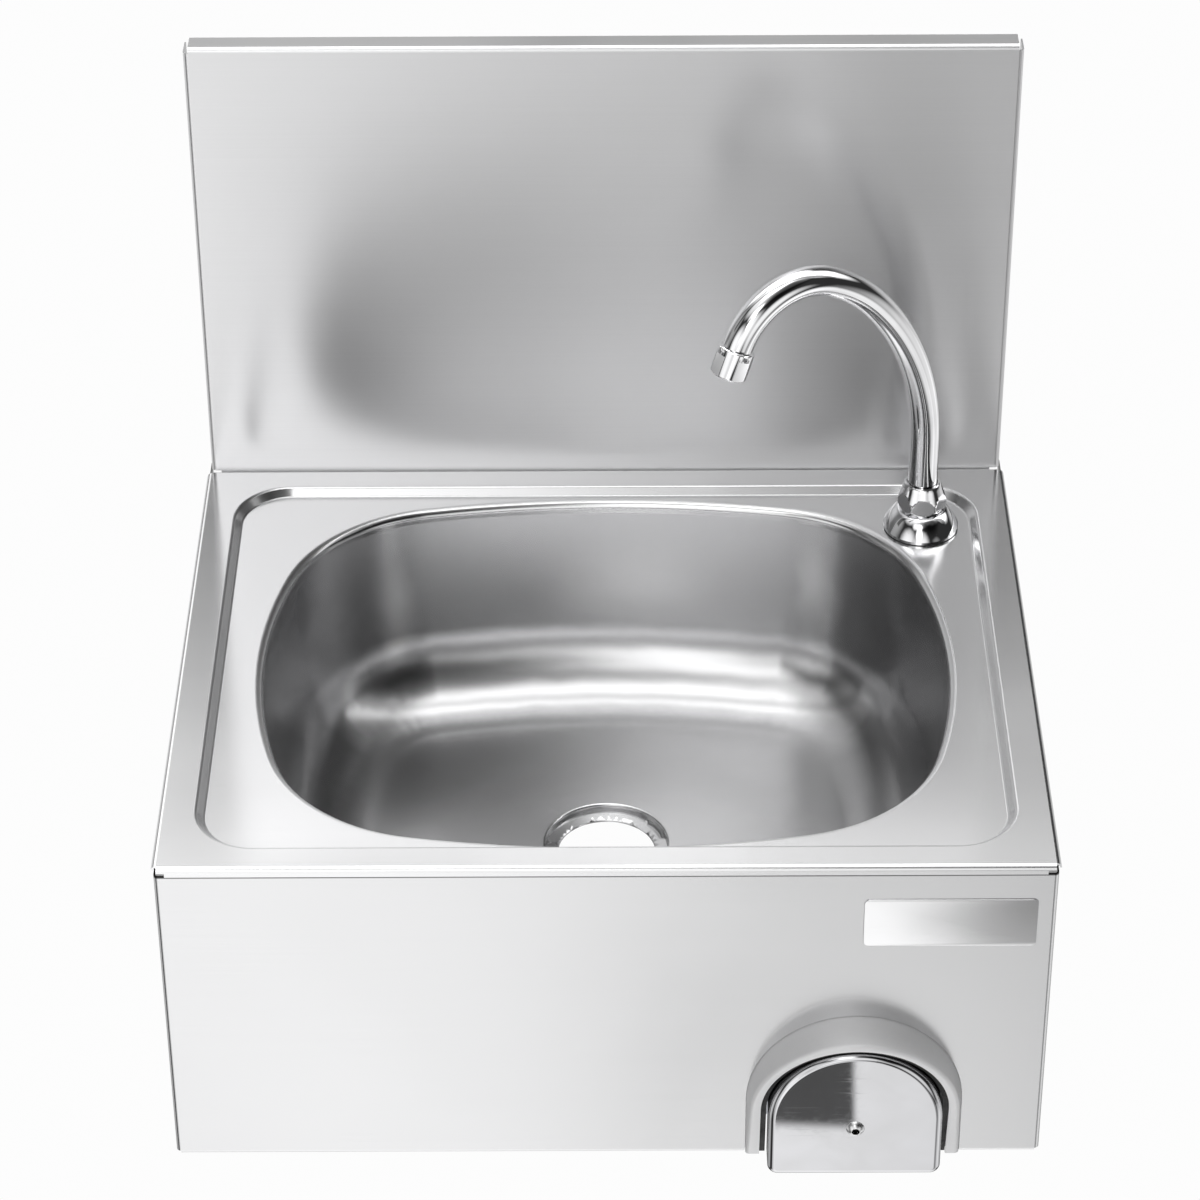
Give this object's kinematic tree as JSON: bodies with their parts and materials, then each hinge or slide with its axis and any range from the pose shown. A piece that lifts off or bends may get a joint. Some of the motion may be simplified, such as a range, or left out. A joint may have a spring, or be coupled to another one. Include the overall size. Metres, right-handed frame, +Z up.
{
  "type": "wash basin",
  "caption": "Wall-hung stainless steel hand wash basin with an oval bowl, backsplash, swivelling swan-neck spout and a knee-operated push valve.",
  "frame": {"origin": "on the wall plane, midway between the two upper wall bolts", "axes": "+X to the right of a person at the basin, +Y into the wall, +Z up"},
  "size_m": [0.5, 0.4367, 0.506],
  "materials": {
    "brushed_steel": "brushed stainless steel",
    "polished_steel": "polished stainless steel",
    "chrome": "mirror chrome plate",
    "brass": "machined brass",
    "zinc_steel": "zinc plated steel",
    "spring_steel": "drawn stainless wire",
    "rubber": "matt black rubber",
    "grey_rubber": "matt grey fibre and rubber",
    "white_plastic": "moulded acetal",
    "grey_plastic": "moulded plastic",
    "braid": "rubber hose under a woven stainless braid"
  },
  "bodies": {
    "basin": {"deck": "brushed_steel", "bowl": "brushed_steel", "apron": "brushed_steel", "backsplash": "brushed_steel", "wall_rail": "brushed_steel", "rail_rivets": "brushed_steel", "knee_hood": "brushed_steel", "return_spring": "spring_steel", "valve_bracket": "zinc_steel", "bracket_studs": "zinc_steel", "bracket_nuts": "zinc_steel", "valve_body": "brass", "gland_nut": "brass", "rod_seal": "rubber", "valve_lock_nut": "brass", "inlet_nipple": "brass", "inlet_strainer": "polished_steel", "check_valve": "grey_plastic", "tap_flange": "chrome", "tap_flange_seal": "rubber", "tap_shank": "brass", "cone_nut": "chrome", "slip_ring": "white_plastic", "shank_rubber": "rubber", "shank_washer": "zinc_steel", "shank_nut": "brass", "hose": "braid", "hose_nuts": "chrome", "hose_washers": "grey_rubber", "hose_ferrules": "polished_steel"},
    "spout": {"spout_pipe": "chrome", "spout_spigot": "brass", "spout_o_rings": "rubber", "aerator_housing": "chrome", "aerator_washer": "rubber", "aerator_insert": "white_plastic"},
    "knee": {"knee_pad": "polished_steel", "pad_plate": "zinc_steel", "pad_screw": "polished_steel", "push_rod": "polished_steel", "piston_seal": "rubber"}
  },
  "joints": [
    {"name": "spout_swivel", "type": "hinge", "parent": "basin", "child": "spout", "pos_m": [0.1945, -0.0725, 0.045], "axis": [0, 0, 1], "range_deg": [-45, 165]},
    {"name": "knee_push", "type": "slide", "parent": "basin", "child": "knee", "axis": [0, 1, 0], "range_m": [0, 0.01], "stiffness_N_per_m": 800, "springref_m": -0.01, "deforming": ["return_spring"]}
  ]
}
